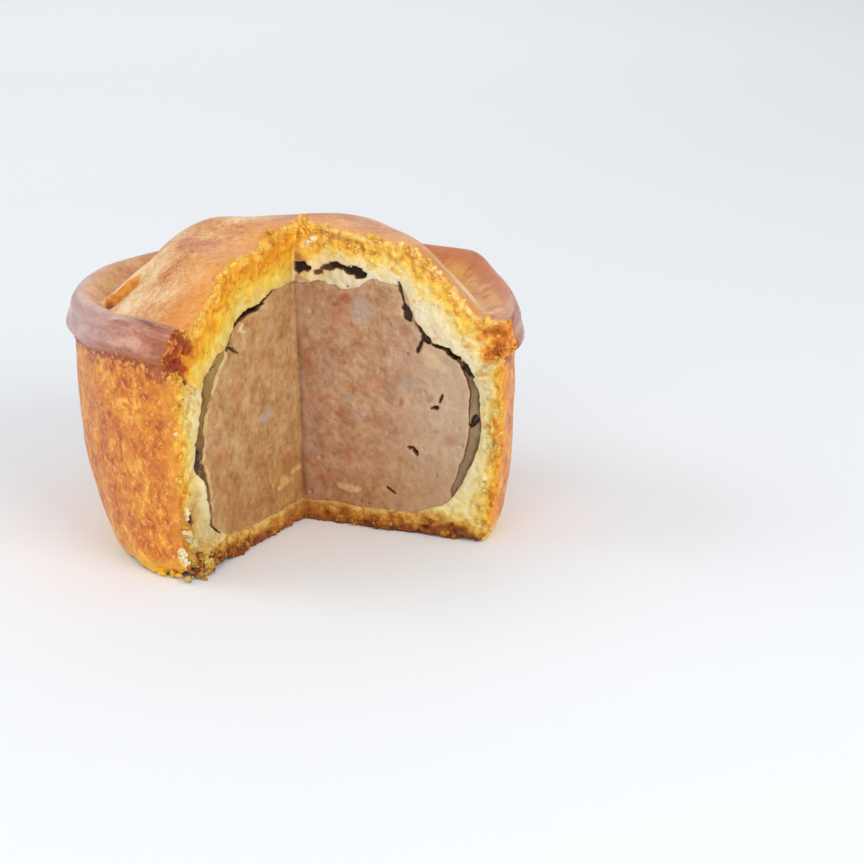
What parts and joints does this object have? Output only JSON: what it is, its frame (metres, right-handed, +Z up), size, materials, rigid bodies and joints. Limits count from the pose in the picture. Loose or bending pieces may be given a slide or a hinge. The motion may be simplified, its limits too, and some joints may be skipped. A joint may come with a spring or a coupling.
{
  "type": "pork pie",
  "caption": "Raised pork pie with a wide wedge cut out, showing thick hot-water crust, a band of set jelly and coarse pork filling.",
  "frame": {"origin": "centre of the model's bounding box, at the height of the flat base", "axes": "+Z up, -Y through the middle of the missing wedge, +X to the right seen from the wedge"},
  "size_m": [0.0918, 0.0784, 0.0645],
  "materials": {
    "crust": "baked golden-brown pastry, glazed outside, yellow to cream crumb where cut",
    "jelly": "moist set jelly, olive brown",
    "filling": "moist coarse-ground cooked pork, pinkish beige"
  },
  "bodies": {
    "root": {"crust": "crust", "jelly": "jelly", "filling": "filling"}
  },
  "joints": []
}
